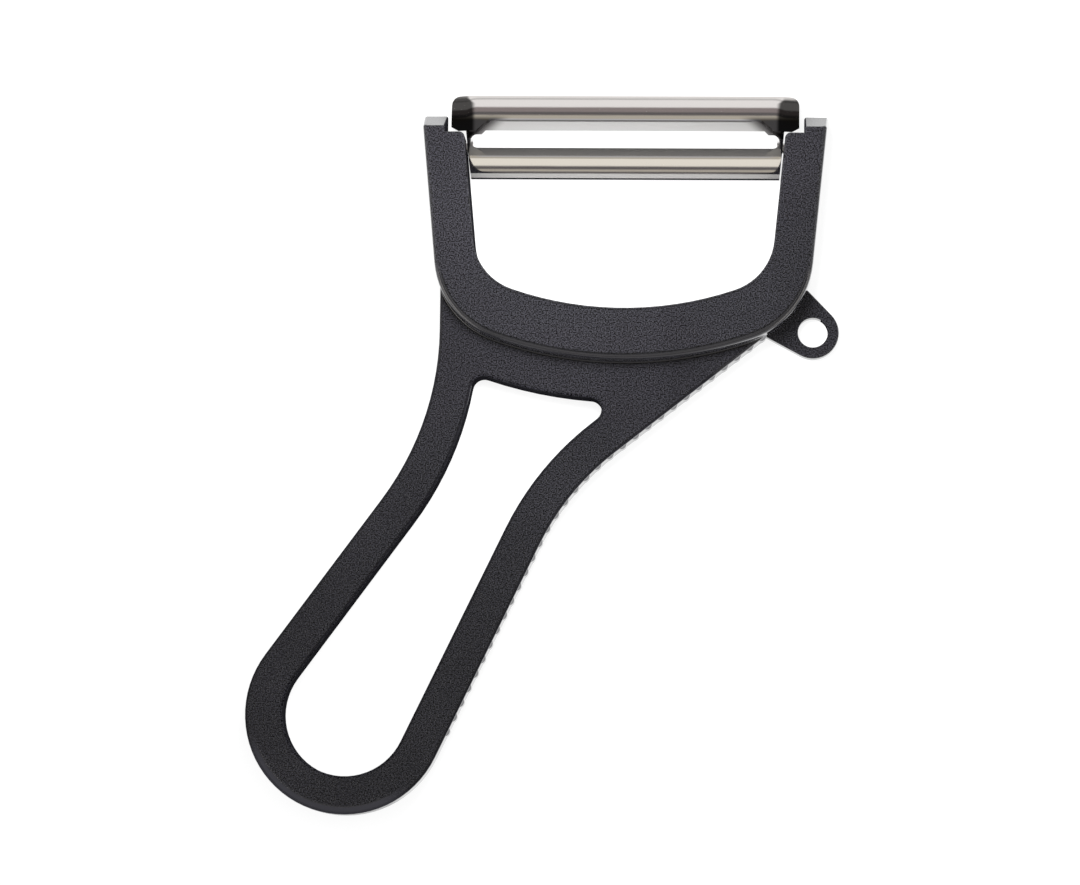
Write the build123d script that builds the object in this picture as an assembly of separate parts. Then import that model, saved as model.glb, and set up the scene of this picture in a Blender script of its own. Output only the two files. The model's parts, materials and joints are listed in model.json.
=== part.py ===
from build123d import *
import os
from math import atan2, cos, degrees, radians, sin, sqrt, tan

# Y-shaped vegetable peeler: one moulded handle and a slotted steel blade that swings between the fork's
# arms. Millimetres. While it is drawn, x = 0 is the fork's centre line, y = 0 the lowest point of the fork's
# gap and z = 0 the flat back. At the end all moves so that the origin is the middle of the back's box.

os.makedirs("parts", exist_ok=True)

# Fork
FORK_THICKNESS = 7.2
GAP_WIDTH = 50.1            # between the arms, at the notch floor
ARM_LENGTH = 27.7           # from the lowest point of the gap to the notch floor
ARM_WIDTH = 6.35
ARM_TAPER = 5.55            # degrees that each arm leans outwards
GAP_FLOOR_RADIUS = 53.3
GAP_CORNER_RADIUS = 9.0
WEB_WIDTH = 8.1             # the bar of the U, at its middle
FORK_CORNER_RADIUS = 14.0
FORK_FRONT_ROUND = 1.0      # outer front edge
GAP_FRONT_ROUND = 0.45      # front edge round the gap

# Lugs at the arms' ends, outside the notches
LUG_WIDTH = 3.35
LUG_FRONT_HEIGHT = 0.85
LUG_BACK_HEIGHT = 3.75
LUG_CORNER_ROUND = 0.4
ARM_TIP_ROUND = 0.9

# Finger loop
PLATE_THICKNESS = 4.4
LEG_WIDTH = 5.9
END_RADIUS = 15.5
END_X = -42.3
END_Y = -63.2
LEFT_LEG_ANGLE = 54.0       # degrees from the +X axis
LEFT_BEND_RADIUS = 45.2
NECK_LEFT_X = -28.6         # where the left side runs straight up into the fork
RIGHT_LEG_ANGLE = 64.6
RIGHT_BEND_RADIUS = 40.6
NECK_ANGLE = 38.4           # the right side's slope up to the fork's corner
NECK_BITE = 0.15            # how far its line cuts inside the fork's corner round
LOOP_CORNER_RADIUS = 1.8
PLATE_FRONT_ROUND = 0.45
STEP_FOOT_ROUND = 0.4

# Eyelet tab
TAB_THICKNESS = 1.8
TAB_X = 29.5
TAB_Y = -3.0
TAB_RADIUS = 4.05
TAB_UPPER_ANGLE = 134.0     # headings of its two straight edges, towards the fork
TAB_LOWER_ANGLE = 151.7
TAB_FRONT_ROUND = 0.3
EYELET_RADIUS = 2.33

# Grip pips on the right-hand side wall
PIP_PITCH = 2.5
PIP_WIDTH = 1.36
PIP_RISE = 0.25
PIP_SINK = 0.05             # how deep their slanting ends run into the wall
PIP_EDGE = 0.6              # plain wall before and behind them
PIP_FIRST = 3.0             # from the fork's corner to the first pip
PIP_LAST = 4.0              # from the last pip to the round end

# Blade: sheet steel, drawn with y = 0 at the slot's centre and z = 0 on the crown
SHEET = 0.5
ARCH_RADIUS = 9.7
UPPER_WING = 6.8
LOWER_WING = 6.3
WING_OVERHANG = 2.4         # how far the upper wing reaches over each arm, past the ear
WING_ROLL_RADIUS = 3.8
WING_CORNER_RADIUS = 1.3
WING_END_FOOT = 2.0         # where the upper wing's straight ends stop, above the slot's centre
WING_HIP = 1.15             # how far the slanting foot of each end runs in
WING_HIP_LEVEL = 1.4        # and where it stops, above the slot's centre
EAR_TOP_LEVEL = 1.25        # where the foot reaches the ear
EAR_BEND_RADIUS = 0.65
EAR_CLEARANCE = 0.25        # between each ear and its arm
EAR_LOBE_RADIUS = 2.3
ROLL_LIP = 0.15             # how far the rolled ends reach below the long edges
SLOT_END_LAND = 0.7         # sheet between the slot's end and the ear
SLOT_HALF_HEIGHT = 1.34
SLOT_END_TOP = 0.72         # the slot's upper edge outside the ground stretch
GROUND_MARGIN = 1.7         # from the slot's end to the ground stretch
GROUND_RUN_OUT = 0.9
UPPER_BEVEL = 2.05
LOWER_BEVEL = 1.26
EDGE_THICKNESS = 0.15       # what grinding leaves of the sheet at the slot

# Pivot
PIVOT_DROP = 1.9            # below the notch floor
CROWN_RISE = 1.7            # from the pivot out to the crown
SLOT_RISE = 1.3             # from the pivot up to the slot's centre
BLADE_TILT = 11.0           # degrees, the way the blade lies at rest
PIN_RADIUS = 0.8
PIN_REACH = 2.8             # beyond the ear
PIN_HEAD_RADIUS = 1.2
PIN_HEAD_HEIGHT = 0.35
PIN_CLEARANCE = 0.05        # round the pin in its bore
PIN_END_PLAY = 0.3

OVERRUN = 5.0               # how far every cut runs past what it cuts
NEAR = 0.01                 # how near an edge lies to a line to count as on it


def heading(angle):
    """Unit vector along an angle counted in degrees from +X."""
    return Vector(cos(radians(angle)), sin(radians(angle)))


def mirrored(point):
    return Vector(-point.X, point.Y)


SIDE = heading(90 - ARM_TAPER)                  # up along the right arm
SIDE_OUT = heading(-ARM_TAPER)                  # square to it, outwards
GAP_SHOULDER = Vector(GAP_WIDTH / 2, ARM_LENGTH)
FORK_SHOULDER = GAP_SHOULDER + SIDE_OUT * ARM_WIDTH
FORK_FLOOR_RADIUS = GAP_FLOOR_RADIUS + WEB_WIDTH
# The gap's floor, the fork's underside and the loop's top share one centre.
FLOOR_CENTRE = Vector(0, GAP_FLOOR_RADIUS)
FORK_TOP = ARM_LENGTH + LUG_BACK_HEIGHT
EAR_HALF_WIDTH = GAP_WIDTH / 2 - EAR_CLEARANCE  # at the notch floor
WING_HALF_WIDTH = EAR_HALF_WIDTH + WING_OVERHANG
SLOT_HALF_LENGTH = EAR_HALF_WIDTH - SLOT_END_LAND
GROUND_HALF_LENGTH = SLOT_HALF_LENGTH - GROUND_MARGIN


def corner_centre(shoulder, corner_radius, floor_radius):
    """Centre of the round between a slanting side and the curved floor."""
    start = shoulder - SIDE_OUT * corner_radius - FLOOR_CENTRE
    along = start.dot(SIDE)
    reach = floor_radius - corner_radius
    drop = sqrt(along ** 2 - start.dot(start) + reach ** 2)
    return FLOOR_CENTRE + start - SIDE * (along + drop)


def u_face(shoulder, corner_radius, floor_radius, top):
    """Face inside a U: two slanting sides, two corner rounds and a curved floor."""
    centre = corner_centre(shoulder, corner_radius, floor_radius)
    low = (centre - FLOOR_CENTRE).normalized()
    rim = shoulder + SIDE * ((top - shoulder.Y) / SIDE.Y)
    side_foot = centre + SIDE_OUT * corner_radius
    corner_middle = centre + (SIDE_OUT + low).normalized() * corner_radius
    floor_end = centre + low * corner_radius
    floor_middle = FLOOR_CENTRE - Vector(0, floor_radius)
    outline = Line(rim, side_foot)
    outline += ThreePointArc(side_foot, corner_middle, floor_end)
    outline += ThreePointArc(floor_end, floor_middle, mirrored(floor_end))
    outline += ThreePointArc(mirrored(floor_end), mirrored(corner_middle), mirrored(side_foot))
    outline += Line(mirrored(side_foot), mirrored(rim))
    outline += Line(mirrored(rim), rim)
    return make_face(outline)


FORK_CORNER = corner_centre(FORK_SHOULDER, FORK_CORNER_RADIUS, FORK_FLOOR_RADIUS)
END_CENTRE = Vector(END_X, END_Y)
LEFT_LEG = heading(LEFT_LEG_ANGLE)
LEFT_OUT = heading(LEFT_LEG_ANGLE + 90)
RIGHT_LEG = heading(RIGHT_LEG_ANGLE)
RIGHT_OUT = heading(RIGHT_LEG_ANGLE - 90)
NECK_OUT = heading(NECK_ANGLE - 90)
NECK_OFFSET = FORK_CORNER_RADIUS - NECK_BITE


def left_bend_centre():
    """Centre of the arc that turns the left leg upright."""
    start = END_CENTRE + LEFT_OUT * (END_RADIUS + LEFT_BEND_RADIUS)
    return start + LEFT_LEG * ((NECK_LEFT_X - LEFT_BEND_RADIUS - start.X) / LEFT_LEG.X)


def right_bend_centre():
    """Centre of the arc between the right leg and the neck's edge."""
    start = END_CENTRE + RIGHT_OUT * (END_RADIUS + RIGHT_BEND_RADIUS)
    short = NECK_OFFSET + RIGHT_BEND_RADIUS - (start - FORK_CORNER).dot(NECK_OUT)
    return start + RIGHT_LEG * (short / RIGHT_LEG.dot(NECK_OUT))


LEFT_BEND = left_bend_centre()
RIGHT_BEND = right_bend_centre()


def grip_side(inset):
    """The grip's contour moved in by an inset, from the neck's right end round to its left end."""
    end_radius = END_RADIUS - inset
    left_radius = LEFT_BEND_RADIUS + inset
    right_radius = RIGHT_BEND_RADIUS + inset
    neck_top = FORK_CORNER + NECK_OUT * (NECK_OFFSET - inset)
    right_bend_high = RIGHT_BEND - NECK_OUT * right_radius
    right_bend_middle = RIGHT_BEND - (RIGHT_OUT + NECK_OUT).normalized() * right_radius
    right_bend_low = RIGHT_BEND - RIGHT_OUT * right_radius
    right_low = END_CENTRE + RIGHT_OUT * end_radius
    end_middle = END_CENTRE - (LEFT_LEG + RIGHT_LEG).normalized() * end_radius
    left_low = END_CENTRE + LEFT_OUT * end_radius
    left_bend_low = LEFT_BEND - LEFT_OUT * left_radius
    left_bend_middle = LEFT_BEND + (Vector(1, 0) - LEFT_OUT).normalized() * left_radius
    left_bend_high = LEFT_BEND + Vector(left_radius, 0)
    side = Line(neck_top, right_bend_high)
    side += ThreePointArc(right_bend_high, right_bend_middle, right_bend_low)
    side += Line(right_bend_low, right_low)
    side += ThreePointArc(right_low, end_middle, left_low)
    side += Line(left_low, left_bend_low)
    side += ThreePointArc(left_bend_low, left_bend_middle, left_bend_high)
    side += Line(left_bend_high, Vector(NECK_LEFT_X + inset, FLOOR_CENTRE.Y))
    return side


def grip_face(inset, top_radius):
    """The grip inside such a contour, cut off by a circle round the fork's floor centre."""
    side = grip_side(inset)
    side += Polyline(side @ 1, FLOOR_CENTRE, side @ 0)
    return make_face(side) - Pos(FLOOR_CENTRE) * Circle(top_radius)


def edges_on(solid, wire, level):
    """The solid's edges that lie at one height above a flat outline."""
    lifted = Pos(0, 0, level) * wire
    return [edge for edge in solid.edges() if lifted.distance_to(edge @ 0.5) < NEAR]


def across(profile, width):
    """A profile of (y, z) points as a bar that runs along X to both sides."""
    face = make_face(Polyline(*[(0, y, z) for y, z in profile], close=True))
    return extrude(face, width, dir=(1, 0, 0), both=True)


def make_fork():
    """The thick U with its notches and slanting lugs."""
    outside = u_face(FORK_SHOULDER, FORK_CORNER_RADIUS, FORK_FLOOR_RADIUS, FORK_TOP)
    gap = u_face(GAP_SHOULDER, GAP_CORNER_RADIUS, GAP_FLOOR_RADIUS, FORK_TOP + OVERRUN)
    fork = extrude(outside, FORK_THICKNESS)
    front = edges_on(fork, outside.wire(), FORK_THICKNESS)
    rims = [edge for edge in front if (edge @ 0.5).Y < FORK_TOP - NEAR]
    fork = fillet(rims, FORK_FRONT_ROUND)
    notch_half = FORK_SHOULDER.X - LUG_WIDTH
    opening = gap + Pos(0, FORK_TOP) * Rectangle(2 * notch_half, 2 * LUG_BACK_HEIGHT)
    tips = [v for v in opening.vertices() if abs(v.Y - ARM_LENGTH) < NEAR and abs(v.X) < notch_half - NEAR]
    opening = fillet(tips, ARM_TIP_ROUND)
    fork -= extrude(opening, FORK_THICKNESS)
    fork = fillet(edges_on(fork, opening.wire(), FORK_THICKNESS), GAP_FRONT_ROUND)
    low = ARM_LENGTH + LUG_FRONT_HEIGHT
    fall = LUG_BACK_HEIGHT - LUG_FRONT_HEIGHT
    above = [
        (low - fall, 2 * FORK_THICKNESS),
        (FORK_TOP + fall, -FORK_THICKNESS),
        (FORK_TOP + 2 * fall, 2 * FORK_THICKNESS),
    ]
    fork -= across(above, FORK_SHOULDER.X + OVERRUN)
    tops = [face for face in fork.faces() if face.normal_at().Y > face.normal_at().Z > NEAR]
    edges = [edge for face in tops for edge in face.edges()]
    sides = [edge for edge in edges if abs(edge.tangent_at(0).X) < abs(edge.tangent_at(0).Z)]
    return fillet(sides, LUG_CORNER_ROUND)


def make_plate():
    """The flat grip: two legs, a round end and the neck, with the finger loop cut through."""
    outside = grip_face(0, GAP_FLOOR_RADIUS + WEB_WIDTH / 4)
    loop_top = FORK_FLOOR_RADIUS + LEG_WIDTH
    loop = offset(grip_face(LEG_WIDTH, loop_top), -LOOP_CORNER_RADIUS, kind=Kind.INTERSECTION)
    loop = offset(loop, LOOP_CORNER_RADIUS)
    plate = extrude(outside - loop, PLATE_THICKNESS)
    rims = edges_on(plate, grip_side(0).wire(), PLATE_THICKNESS)
    rims += edges_on(plate, loop.wire(), PLATE_THICKNESS)
    return fillet(rims, PLATE_FRONT_ROUND)


def make_tab():
    """Thin teardrop tab at the fork's corner, with its eyelet still closed."""
    centre = Vector(TAB_X, TAB_Y)
    run = (centre - FORK_CORNER).length - FORK_CORNER_RADIUS + ARM_WIDTH / 2
    upper = centre + heading(TAB_UPPER_ANGLE - 90) * TAB_RADIUS
    lower = centre + heading(TAB_LOWER_ANGLE + 90) * TAB_RADIUS
    nose = centre - (heading(TAB_UPPER_ANGLE) + heading(TAB_LOWER_ANGLE)).normalized() * TAB_RADIUS
    upper_root = upper + heading(TAB_UPPER_ANGLE) * run
    lower_root = lower + heading(TAB_LOWER_ANGLE) * run
    outline = Line(upper_root, upper)
    outline += ThreePointArc(upper, nose, lower)
    outline += Line(lower, lower_root)
    outline += Line(lower_root, upper_root)
    face = make_face(outline)
    tab = extrude(face, TAB_THICKNESS)
    front = edges_on(tab, face.wire(), TAB_THICKNESS)
    rims = [edge for edge in front if (edge @ 0.5).X > lower_root.X + run / 2]
    return fillet(rims, TAB_FRONT_ROUND)


def make_pips():
    """Upright pips with slanting ends, each mostly sunk in the wall."""
    path = Wire(grip_side(0).edges()[:3])
    radius = (PIP_WIDTH ** 2 / 4 + PIP_RISE ** 2) / (2 * PIP_RISE)
    flat = PLATE_THICKNESS / 2 - PIP_EDGE - PIP_WIDTH / 2
    end = flat + PIP_WIDTH / 2 * (1 + PIP_SINK / PIP_RISE)
    sunk = radius - PIP_RISE - PIP_SINK
    profile = Polyline(
        (0, end),
        (-sunk, end),
        (-radius, flat),
        (-radius, -flat),
        (-sunk, -end),
        (0, -end),
        close=True,
    )
    body = extrude(Plane.XZ * make_face(profile), radius, both=True) & Cylinder(radius, 2 * end)
    count = int((path.length - PIP_FIRST - PIP_LAST) / PIP_PITCH) + 1
    pips = []
    for index in range(count):
        share = (PIP_FIRST + index * PIP_PITCH) / path.length
        along = path % share
        inward = Vector(along.Y, -along.X)
        place = path @ share + inward * (radius - PIP_RISE)
        turned = Rot(0, 0, degrees(atan2(inward.Y, inward.X))) * body
        pips.append(Pos(place.X, place.Y, PLATE_THICKNESS / 2) * turned)
    return pips


def pivot_place():
    return Vector(0, ARM_LENGTH - PIVOT_DROP, FORK_THICKNESS / 2)


def ear_half_width(y):
    """Half the blade's width between the arms, at a height of the fork."""
    return EAR_HALF_WIDTH + (y - ARM_LENGTH) * tan(radians(ARM_TAPER))


def make_handle():
    """Fork, grip, tab and pips as one moulding, with the eyelet and the two blind pivot bores."""
    handle = make_fork() + make_plate()
    step = [edge for edge in handle.edges() if on_step_foot(edge)]
    handle = fillet(step, STEP_FOOT_ROUND)
    handle += make_tab()
    handle += make_pips()
    handle -= Pos(TAB_X, TAB_Y) * Cylinder(EYELET_RADIUS, 2 * FORK_THICKNESS)
    pivot = pivot_place()
    pin_end = ear_half_width(pivot.Y) + PIN_REACH + PIN_END_PLAY
    handle -= Pos(pivot) * Rot(0, 90, 0) * Cylinder(PIN_RADIUS + PIN_CLEARANCE, 2 * pin_end)
    return handle


def on_step_foot(edge):
    """Whether an edge is where the fork's outer wall stands on the grip's front face."""
    middle = edge @ 0.5
    if abs(middle.Z - PLATE_THICKNESS) > NEAR:
        return False
    from_floor = (Vector(middle.X, middle.Y) - FLOOR_CENTRE).length
    from_corner = (Vector(abs(middle.X), middle.Y) - FORK_CORNER).length
    return abs(from_floor - FORK_FLOOR_RADIUS) < NEAR or abs(from_corner - FORK_CORNER_RADIUS) < NEAR


def skin(block, depth):
    """The arched, round-ended block that a sheet wraps, at a depth below the sheet's outside."""
    arch = Rot(0, 90, 0) * Cylinder(ARCH_RADIUS - depth, 2 * (WING_HALF_WIDTH + OVERRUN))
    return block(depth) & Pos(0, 0, -ARCH_RADIUS) * arch


def end_profile(half_width, bend_radius, depth):
    """Section across X: a flat top with rounded ends, reaching down past the ears."""
    height = 2 * ARCH_RADIUS
    profile = Pos(0, -depth - height / 2) * Rectangle(2 * (half_width - depth), height)
    tops = [v for v in profile.vertices() if v.Y > -height / 2]
    return fillet(tops, bend_radius - depth)


def wing_block(depth):
    profile = Plane.XZ * end_profile(WING_HALF_WIDTH, WING_ROLL_RADIUS, depth)
    return extrude(profile, UPPER_WING + LOWER_WING, both=True)


def ear_block(depth):
    """Like the wing's block, but its sides lean as the arms do."""
    middle = ARM_LENGTH - PIVOT_DROP + SLOT_RISE
    sections = []
    for y in (-LOWER_WING - OVERRUN, UPPER_WING + OVERRUN):
        profile = end_profile(ear_half_width(middle + y), EAR_BEND_RADIUS, depth)
        sections.append(Pos(0, y, 0) * (Plane.XZ * profile))
    return loft(sections, ruled=True)


def wing_outline():
    """The upper wing seen square on: straight ends, rounded top corners and slanting feet."""
    right = [
        (WING_HALF_WIDTH, UPPER_WING),
        (WING_HALF_WIDTH, WING_END_FOOT),
        (WING_HALF_WIDTH - WING_HIP, WING_HIP_LEVEL),
        (EAR_HALF_WIDTH, EAR_TOP_LEVEL),
        (EAR_HALF_WIDTH, SLOT_END_TOP),
    ]
    left = [(-x, y) for x, y in reversed(right)]
    outline = Polyline(*right, *left, close=True)
    face = make_face(outline)
    corners = [v for v in face.vertices() if v.Y > UPPER_WING - NEAR]
    return fillet(corners, WING_CORNER_RADIUS)


def slot_outline():
    """The slot: a round-ended part over its whole length, opened upwards along the ground stretch."""
    height = SLOT_HALF_HEIGHT + SLOT_END_TOP
    middle = (SLOT_END_TOP - SLOT_HALF_HEIGHT) / 2
    outline = Pos(0, middle) * SlotOverall(2 * SLOT_HALF_LENGTH, height)
    rise = SLOT_HALF_HEIGHT - SLOT_END_TOP
    ground = Polyline(
        (GROUND_HALF_LENGTH, SLOT_END_TOP),
        (GROUND_HALF_LENGTH - rise, SLOT_HALF_HEIGHT),
        (rise - GROUND_HALF_LENGTH, SLOT_HALF_HEIGHT),
        (-GROUND_HALF_LENGTH, SLOT_END_TOP),
        (-GROUND_HALF_LENGTH, 0),
        (GROUND_HALF_LENGTH, 0),
        close=True,
    )
    return outline + make_face(ground)


def arch_level(y):
    """Height of the blade's outside at a distance from the slot's centre."""
    return sqrt(ARCH_RADIUS ** 2 - y ** 2) - ARCH_RADIUS


def ground_cut(side, width):
    """What grinding takes off beside the slot, down to a thin edge; side is 1 above the slot, -1 below."""
    lip = SLOT_HALF_HEIGHT
    back = lip + width
    slope = (arch_level(lip) - SHEET + EDGE_THICKNESS - arch_level(back)) / width
    profile = [
        (side * back, arch_level(back)),
        (side * back, OVERRUN),
        (0, OVERRUN),
        (0, arch_level(back) + slope * back),
    ]
    bar = across(profile, GROUND_HALF_LENGTH + OVERRUN)
    run_out = Polyline(
        (GROUND_HALF_LENGTH + GROUND_RUN_OUT, 0),
        (GROUND_HALF_LENGTH + GROUND_RUN_OUT, side * lip),
        (GROUND_HALF_LENGTH - GROUND_RUN_OUT, side * back),
        (GROUND_RUN_OUT - GROUND_HALF_LENGTH, side * back),
        (-GROUND_HALF_LENGTH - GROUND_RUN_OUT, side * lip),
        (-GROUND_HALF_LENGTH - GROUND_RUN_OUT, 0),
        close=True,
    )
    return bar & extrude(make_face(run_out), 2 * ARCH_RADIUS, both=True)


def band(low, high):
    """Everything between two heights of the blade, over its whole width."""
    outline = Polyline(
        (-WING_HALF_WIDTH, low),
        (WING_HALF_WIDTH, low),
        (WING_HALF_WIDTH, high),
        (-WING_HALF_WIDTH, high),
        close=True,
    )
    return extrude(make_face(outline), 2 * ARCH_RADIUS, both=True)


def make_blade():
    """The arched sheet with rolled wing ends, ears with round lobes, a slot and two ground edges."""
    rim_level = min(arch_level(UPPER_WING), arch_level(LOWER_WING)) - SHEET - ROLL_LIP
    across_all = 2 * WING_HALF_WIDTH + OVERRUN
    pivot_line = Pos(0, -SLOT_RISE, -CROWN_RISE) * Rot(0, 90, 0)
    above_rim = across([(-ARCH_RADIUS, rim_level), (ARCH_RADIUS, rim_level), (ARCH_RADIUS, ARCH_RADIUS),
                        (-ARCH_RADIUS, ARCH_RADIUS)], across_all)
    lobe = pivot_line * Cylinder(EAR_LOBE_RADIUS, across_all)
    wing = skin(wing_block, 0) - skin(wing_block, SHEET)
    wing &= extrude(wing_outline(), 2 * ARCH_RADIUS, both=True)
    ears = skin(ear_block, 0) - skin(ear_block, SHEET)
    ears &= band(-LOWER_WING, WING_END_FOOT)
    blade = (wing & above_rim) + (ears & (above_rim + lobe))
    blade -= extrude(slot_outline(), 2 * ARCH_RADIUS, both=True)
    blade -= ground_cut(1, UPPER_BEVEL)
    blade -= ground_cut(-1, LOWER_BEVEL)
    blade -= pivot_line * Cylinder(PIN_RADIUS, across_all)
    return seat(Pos(0, SLOT_RISE, CROWN_RISE) * blade)


def seat(piece):
    """Tilts a piece drawn about the pivot and carries it to the fork."""
    return Pos(pivot_place()) * Rot(BLADE_TILT, 0, 0) * piece


def make_pin(side):
    """Headed pin through one ear, reaching into that arm's bore."""
    ear = ear_half_width(ARM_LENGTH - PIVOT_DROP)
    inner = ear - SHEET - PIN_HEAD_HEIGHT
    length = ear + PIN_REACH - inner
    pin = Pos(0, 0, inner + length / 2) * Cylinder(PIN_RADIUS, length)
    pin += Pos(0, 0, inner + PIN_HEAD_HEIGHT / 2) * Cylinder(PIN_HEAD_RADIUS, PIN_HEAD_HEIGHT)
    return seat(Rot(0, side * 90, 0) * pin)


pieces = {
    "handle": make_handle(),
    "blade": make_blade(),
    "pivot_pin_left": make_pin(-1),
    "pivot_pin_right": make_pin(1),
}

box = Compound(list(pieces.values())).bounding_box()
shift = Vector(-box.center().X, -box.center().Y, -box.min.Z)
for name, piece in pieces.items():
    export_step(Pos(shift) * piece, f"parts/{name}.step")

print("size", box.size)
print("pivot", pivot_place() + shift)
print("eyelet", Vector(TAB_X, TAB_Y) + shift, "radius", EYELET_RADIUS, "length", TAB_THICKNESS)
print("shift", shift)
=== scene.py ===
"""Y-shaped vegetable peeler: finishes of its moulded handle, steel blade and pins, on a pale studio floor."""
import json
import math

import bmesh
import bpy
from mathutils import Matrix, Vector


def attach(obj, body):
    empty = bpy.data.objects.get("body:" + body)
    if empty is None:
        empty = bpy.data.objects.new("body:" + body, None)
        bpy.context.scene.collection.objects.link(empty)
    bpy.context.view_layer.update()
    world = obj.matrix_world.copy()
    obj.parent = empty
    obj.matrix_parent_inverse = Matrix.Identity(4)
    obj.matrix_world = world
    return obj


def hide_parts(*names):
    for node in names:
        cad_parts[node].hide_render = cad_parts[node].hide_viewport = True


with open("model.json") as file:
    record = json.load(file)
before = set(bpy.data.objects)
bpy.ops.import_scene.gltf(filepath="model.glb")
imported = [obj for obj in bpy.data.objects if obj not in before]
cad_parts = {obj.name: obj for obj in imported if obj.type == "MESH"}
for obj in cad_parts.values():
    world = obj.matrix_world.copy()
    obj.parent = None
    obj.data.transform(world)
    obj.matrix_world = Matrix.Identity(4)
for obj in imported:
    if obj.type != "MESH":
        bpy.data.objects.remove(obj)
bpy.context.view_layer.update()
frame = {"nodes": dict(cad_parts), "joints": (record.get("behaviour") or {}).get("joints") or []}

bl_info = {
    "name": "Vegetable Peeler Finishes",
    "version": (1, 0, 0),
    "blender": (4, 5, 0),
    "location": "3D View > Sidebar > Peeler",
    "description": "Dresses the packed vegetable peeler and sets up its studio view",
    "category": "Object",
}

PIVOT = Vector(frame["joints"][0]["pos_m"])
RISING = (0.0, 1.0)
FALLING = (1.0, 0.0)

# Two numbers of one name are where a fade starts and stops, or the values that it starts and stops at

# Handle: places and heights in metres
LOOP_CENTRE = (-0.015, -0.013, 0.0)
GAP_CENTRE = (0.012, 0.040, 0.0)
LOOP_END = Vector((-0.030175, -0.040891, 0.0))
FORK_FOOT = (0.012, 0.013)
OPENING_BAND = (-0.0001, 0.0001)
STEP_TOP = (0.0041, 0.0044)
STEP_END = (0.026, 0.030)

# Handle: the right leg's outer wall with its grip pips, by how far a place lies along two directions
GRIP_LINES = (
    ((0.87, -0.63, 0.0), (0.0058, 0.0062)),
    ((0.903, -0.429, 0.0), (0.0025, 0.0035)),
)
RIGHTWARDS = (0.81, -0.59, 0.0)
PIP_TURN = (-0.6, -0.4)
RIGHT_TURN = (-0.3, 0.2)

# Handle: the smooth hem round the loop's end, lightened by painted light
HEM_FLATTEN = (1.0, 1.0, 0.0)
HEM_RADIUS = (0.0141, 0.0145)
HEM_SIDE = (-0.3, -0.954, 0.0)
HEM_DEPTH = (0.0066, 0.0112)

# Handle: how upright a face's normal is, from 0 on a side wall to 1 on the front and back
WALL_TILT = (0.36, 0.5)
EDGE_TILT = (0.93, 0.99)
BORDER_START = (0.955, 0.975)
BORDER_STOP = (0.992, 0.999)

# Handle: tones and gloss, with noise in grains to a metre
GRAIN_BAND = (0.38, 0.62)
GRAIN_TONES = (-1.0, 1.7)
CLOUD_SCALE = 70.0
CLOUD_BAND = (0.3, 0.7)
CLOUD_TONES = (0.88, 1.12)
# Darkens the fork face's border where it turns down into the step: painted shade
PAINTED_BORDER_SHADE = (1.0, 0.3)
# Lightens the base colour of the right side walls and the hem: painted light
PAINTED_LIGHT_LIFT = 1.7
DARK_ROUGHNESS = 0.3
GLOSS = (0.2, 0.5)
COAT = 0.6
COAT_IOR = 1.7

# Blade: distances up from the slot's centre, or from the upper ground edge's back
SLOT_BLUR = 0.00012
BACK_BLUR = 0.00006
# Where a dark line runs along the back of the upper ground edge
DARK_LINE_FOOT = (-0.00024, -0.00016)
DARK_LINE_TOP = (0.00004, 0.0001)
DEBURRED_FOOT = (-0.0061, -0.00598)
DEBURRED_TOP = (-0.00542, -0.0053)
# How far above the upper ground edge's back the painted shade at its ends reaches
END_SHADE_TOP = (0.0, 0.0009)

# Blade: distances along it from the ground edges' ends
GROUND_FADE = (-0.0011, 0.0)
# Where the painted shade towards the ground edges' ends fades in
END_SHADE_FADE = (-0.0036, -0.0004)

# Blade: polishing lines and tones, with noise in grains to a metre
STREAK_STRETCH = (0.03, 1.0, 1.0)
STREAK_SCALE = 9000.0
STREAK_DEPTH = 0.000004
STREAK_STRENGTH = 0.25
GROUND_STREAKS = 3.0
WEAR_SCALE = 260.0
POLISH_SPREAD = 0.05
WEAR_SPREAD = 0.03
MATT_SPREAD = 0.1
GROUND_COLOUR = (0.64, 0.635, 0.63, 1.0)
# Near-black for the dark line along the upper ground edge's back and for painted shade at its ends and over
# the lower ground edge; the three weights below say how far each goes towards it
SHADE_AND_LINE_COLOUR = (0.05, 0.045, 0.045, 1.0)
DARK_LINE_STRENGTH = 0.75
END_SHADE_STRENGTH = 0.93
LOWER_SHADE = 0.42
MATT_LOSS = (0.17, 0.14)

# Pins: rings left by turning
RING_SCALE = 4000.0
RING_BAND = (0.3, 0.7)
RING_ROUGHNESS = (0.26, 0.4)

# Blade: how finely the new wing is scored, and which edges stay sharp
WELD = 1e-6
ROW_STEP = 0.00035
COLUMN_STEP = 0.0012
ROLL_STEP = 0.00025
STEP_WIDTH = 0.0002
CORNER_SEGMENTS = 6
CREASE = math.radians(28.0)

# Stage: camera, lamp and floor
PICTURE_WIDTH = 1080
SENSOR_WIDTH = 36.0
NEAREST = 0.01
FARTHEST = 20.0
LAMP_PLACE = (0.005, 0.05, 0.08)
LAMP_SIZE = 0.06
LAMP_POWER = 0.2
FLOOR_ROUGHNESS = 0.9
FLOOR_LEVEL = 1.04
BEYOND_BLADE = (0.065, 0.075)
BEYOND_GLOW = (0.0, 0.4)
BELOW_FORK = (0.030, 0.036)
BELOW_GLOW = (-0.02, 0.0)

# Stage: directions in the world, as parts of a unit vector, and the light there
CARD_ENDS = (0.1, 0.34)
CARD_END_TONES = (1.0, 0.09)
LOW_CARDS = (0.85, 0.95)
LOW_CARDS_REACH = (0.0, 0.3)
NEAR_SIDE = (-0.5, -0.2)
SIDE_LAMPS = (0.55, 0.75)
SIDE_LAMP_TOP = (0.2, 0.45)
SIDE_LAMP_STRENGTH = 5.0

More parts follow.
